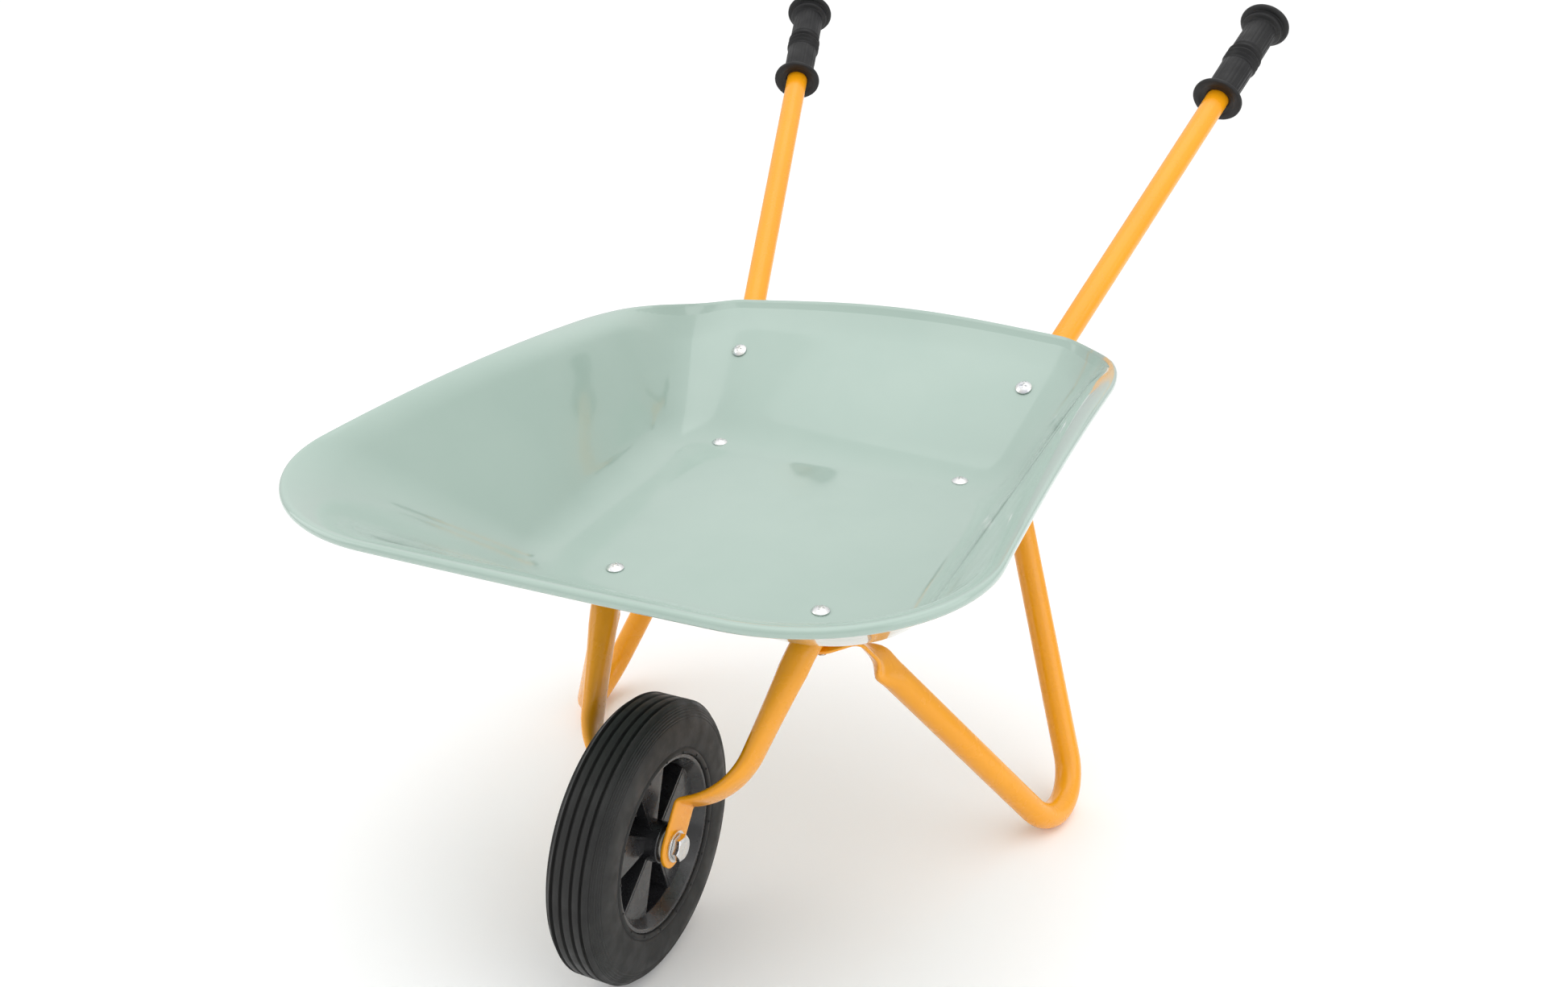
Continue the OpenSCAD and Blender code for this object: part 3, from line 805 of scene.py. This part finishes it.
def hex_body(across, height, hole_r, n=96):
    """A hexagon with a chamfered top, from the seat up; hole_r is 0 for a bolt head."""
    apothem = across / 2
    crown = apothem * 0.93
    slope = math.tan(math.radians(30))
    angles = [2 * math.pi * i / n for i in range(n)]

    def edge_r(a):
        return apothem / math.cos((a % math.radians(60)) - math.radians(30)) - 0.08

    def edge_h(a):
        return height - (edge_r(a) - crown) * slope

    inner = max(hole_r, 0.2)
    rings = [[(inner, a, 0) for a in angles], [(crown, a, 0) for a in angles],
             [(edge_r(a) - 0.1, a, 0.15) for a in angles], [(edge_r(a), a, 0.4) for a in angles],
             [(edge_r(a), a, edge_h(a) - 0.15) for a in angles],
             [(edge_r(a) - 0.12, a, edge_h(a)) for a in angles],
             [(crown + 0.1, a, height - 0.04) for a in angles], [(crown - 0.3, a, height) for a in angles],
             [(lerp(inner, crown, 0.6), a, height - (0.12 if hole_r == 0 else 0)) for a in angles]]
    if hole_r:
        rings += [[(hole_r + 0.5, a, height) for a in angles], [(hole_r, a, height - 0.5) for a in angles]]
    else:
        rings += [[(inner, a, height - 0.16) for a in angles]]
    return rings


HEAD_RISE = 3.2
HEAD_BALL = 9


def screw_rings(length, n=96):
    """Rings of a cross-recessed screw: threaded shank from the tip up, then the domed head."""
    angles = [2 * math.pi * i / n for i in range(n)]
    rings = [[(0.2, a, -length) for a in angles], [(SCREW_R - 0.7, a, -length) for a in angles]]
    turns = int(length - 2)
    for i in range(turns):
        h = -length + 0.5 + i
        rings += [[(SCREW_R, a, h) for a in angles], [(SCREW_R - 0.55, a, h + 0.5) for a in angles]]
    rings += [[(SCREW_R, a, 0) for a in angles], [(HEAD_R - 0.3, a, 0) for a in angles],
              [(HEAD_R - 0.05, a, 0.25) for a in angles]]
    for i in range(31):
        r = lerp(HEAD_R, 0.15, i / 30)
        dome = HEAD_RISE - HEAD_BALL + math.sqrt(HEAD_BALL ** 2 - r ** 2)
        rings.append([(r, a, dome - recess(r, a)) for a in angles])
    return rings


def recess(r, a):
    """Depth of the cross recess at a point of the head: four tapered slots around a deeper middle."""
    u, v = abs(r * math.cos(a)), abs(r * math.sin(a))
    along, beside = max(u, v), min(u, v)
    half_slot = 0.75 - 0.1 * along
    wall = smooth(min(1, max(0, (half_slot + 0.15 - beside) / 0.3)))
    end = smooth(min(1, max(0, (2.95 - along) / 0.5)))
    middle = smooth(min(1, max(0, (1.5 - r) / 0.5)))
    return max(wall * end * (1.6 - 0.25 * along), middle * 1.5)


REAR_DEPTH = UNDER + TUBE_R + 1.1
FRONT_DEPTH = UNDER + TUBE_R + 2 * TAB_HALF_T + 0.4
BACK_DEPTH = FRONT_DEPTH + WALL_LIFT
SCREWS = {"back": (BACK_AT, HANDLE_UP, BACK_DEPTH), "rear": (REAR_AT, FLOOR_UP, REAR_DEPTH),
          "front": (FRONT_AT, FLOOR_UP, FRONT_DEPTH)}


def make_fasteners():
    for name, (at, up, depth) in SCREWS.items():
        for side_name, side in SIDES.items():
            points, faces = polar(at + up * 0.03, up, screw_rings(depth + 8))
            add_piece(f"{name}_screw_{side_name}_turned", mirrored(points, side), faces, "frame",
                      zinc_steel, [f"{name}_screw_{side_name}"], sharp=30)
            points, faces = polar(at - up * (depth + 0.02), -up, hex_body(9.96, 4.9, SCREW_R + 0.02))
            add_piece(f"{name}_nut_{side_name}_hex", mirrored(points, side), faces, "frame",
                      zinc_steel, [f"{name}_nut_{side_name}"], sharp=30)
    head_y = TAB_Y + TAB_HALF_T + 1.64
    head = polar(vec(0, head_y, TYRE_R), WHEEL_AXIS, hex_body(14.98, 5, 0))
    shank = lathe(rounded([(0.3, -head_y - 8.4), (4, -head_y - 8.4), (5, -head_y - 7.4), (5, head_y + 0.3),
                           (0.3, head_y + 0.3)], 0.2), WHEEL_CENTRE, WHEEL_AXIS, WHEEL_START, 64)
    points, faces = join(head, shank)
    add_piece("axle_bolt_hex", points, faces, "frame", zinc_steel, ["axle_bolt"], sharp=30)
    points, faces = polar(vec(0, -head_y, TYRE_R), -WHEEL_AXIS, hex_body(14.98, 7, 5.02))
    add_piece("axle_nut_hex", points, faces, "frame", zinc_steel, ["axle_nut"], sharp=30)
    for side_name, side in SIDES.items():
        inner_y, outer_y = TAB_Y + TAB_HALF_T + 0.02, TAB_Y + TAB_HALF_T + 1.6
        section = rounded([(5.05, inner_y), (10, inner_y), (10, outer_y), (5.05, outer_y)], 0.35)
        points, faces = lathe(section, WHEEL_CENTRE, WHEEL_AXIS, WHEEL_START, 96)
        add_piece(f"axle_washer_{side_name}_flat", mirrored(points, side), faces, "frame",
                  zinc_steel, [f"axle_washer_{side_name}"], sharp=30)


def finish_cad_nodes():
    """Materials for the CAD nodes that stay as they are."""
    for part in frame["record"]["subparts"]:
        node = frame["nodes"][part["node"]]
        node.data.materials.clear()
        node.data.materials.append(BY_SLOT[part["material_slot"]])


# ---------------------------------------------------------------- studio

CAMERA_EYE = vec(667, 393.4, 616.1)
CAMERA_AZIMUTH = 26.76
CAMERA_ELEVATION = 22.03
CAMERA_ROLL = -0.25
CAMERA_LENS = 33.82
CAMERA_SHIFT = (0.039, 0.0141)

# metres and watts: name, place, the point that it faces, size, power
SOFTBOXES = [("softbox_top", (0.2, 0.3, 2.6), (0, 0, 0.2), (2.6, 2.6), 14),
             ("softbox_right", (0.6, 2.4, 1.2), (0, 0, 0.25), (2.2, 1.8), 12),
             ("softbox_left", (1.1, -2.4, 1.5), (0, 0, 0.25), (2.0, 1.8), 10)]
HORIZON_LIGHT = 0.55
ZENITH_LIGHT = 1.35
PAPER_R = 60
PAPER_DROP = 0.0003


def make_camera():
    data = bpy.data.cameras.new("camera")
    data.sensor_width = 36
    data.lens = CAMERA_LENS
    data.shift_x, data.shift_y = CAMERA_SHIFT
    data.clip_start = 0.01
    camera = bpy.data.objects.new("camera", data)
    bpy.context.scene.collection.objects.link(camera)
    a, e = math.radians(CAMERA_AZIMUTH), math.radians(CAMERA_ELEVATION)
    back = Vector((math.cos(e) * math.cos(a), math.cos(e) * math.sin(a), math.sin(e)))
    right = Vector((0, 0, 1)).cross(back).normalized()
    roll = Matrix.Rotation(math.radians(CAMERA_ROLL), 3, "Z")
    turn = Matrix((right, back.cross(right), back)).transposed() @ roll
    camera.matrix_world = turn.to_4x4()
    camera.location = (AXLE.x + CAMERA_EYE[0] / 1000, CAMERA_EYE[1] / 1000, CAMERA_EYE[2] / 1000)
    bpy.context.scene.camera = camera


def add_softbox(name, place, aim, size, power):
    data = bpy.data.lights.new(name, "AREA")
    data.shape = "RECTANGLE"
    data.size, data.size_y = size
    data.energy = power
    light = bpy.data.objects.new(name, data)
    bpy.context.scene.collection.objects.link(light)
    light.location = place
    light.rotation_euler = (Vector(aim) - Vector(place)).to_track_quat("-Z", "Y").to_euler()


def make_studio():
    world = bpy.data.worlds.new("studio")
    bpy.context.scene.world = world
    world.use_nodes = True
    background = world.node_tree.nodes["Background"]
    background.inputs["Color"].default_value = (1, 1, 1, 1)
    # the sky's light grows from the horizon up, so that walls and floor of the tray differ
    direction = world.node_tree.nodes.new("ShaderNodeTexCoord").outputs["Generated"]
    parts = world.node_tree.nodes.new("ShaderNodeSeparateXYZ")
    world.node_tree.links.new(direction, parts.inputs["Vector"])
    climb = world.node_tree.nodes.new("ShaderNodeMapRange")
    climb.inputs["To Min"].default_value = HORIZON_LIGHT
    climb.inputs["To Max"].default_value = ZENITH_LIGHT
    world.node_tree.links.new(parts.outputs["Z"], climb.inputs["Value"])
    world.node_tree.links.new(climb.outputs["Result"], background.inputs["Strength"])
    for softbox in SOFTBOXES:
        add_softbox(*softbox)
    mesh = bpy.data.meshes.new("floor")
    n = 96
    ring = [(PAPER_R * math.cos(2 * math.pi * i / n), PAPER_R * math.sin(2 * math.pi * i / n), 0)
            for i in range(n)]
    mesh.from_pydata(ring, [], [tuple(range(n))])
    material, shader, noise, spread, mix, bumps, link = node_tools("floor_paper")
    link(mix(spread(noise(3, 2), 0, 1), (0.96, 0.96, 0.96), (0.97, 0.97, 0.97)), "Base Color")
    shader.inputs["Roughness"].default_value = 0.9
    shader.inputs["Specular IOR Level"].default_value = 0.1
    mesh.materials.append(material)
    floor = bpy.data.objects.new("floor", mesh)
    floor.location.z = -PAPER_DROP
    bpy.context.scene.collection.objects.link(floor)
    bpy.context.scene.view_settings.view_transform = "Standard"


make_camera()
make_studio()
finish_cad_nodes()
make_tray()
make_fasteners()
make_tyre()
make_hub()
for side_name in SIDES:
    make_main_tube(side_name)
    make_leg(side_name)
    make_grip(side_name)
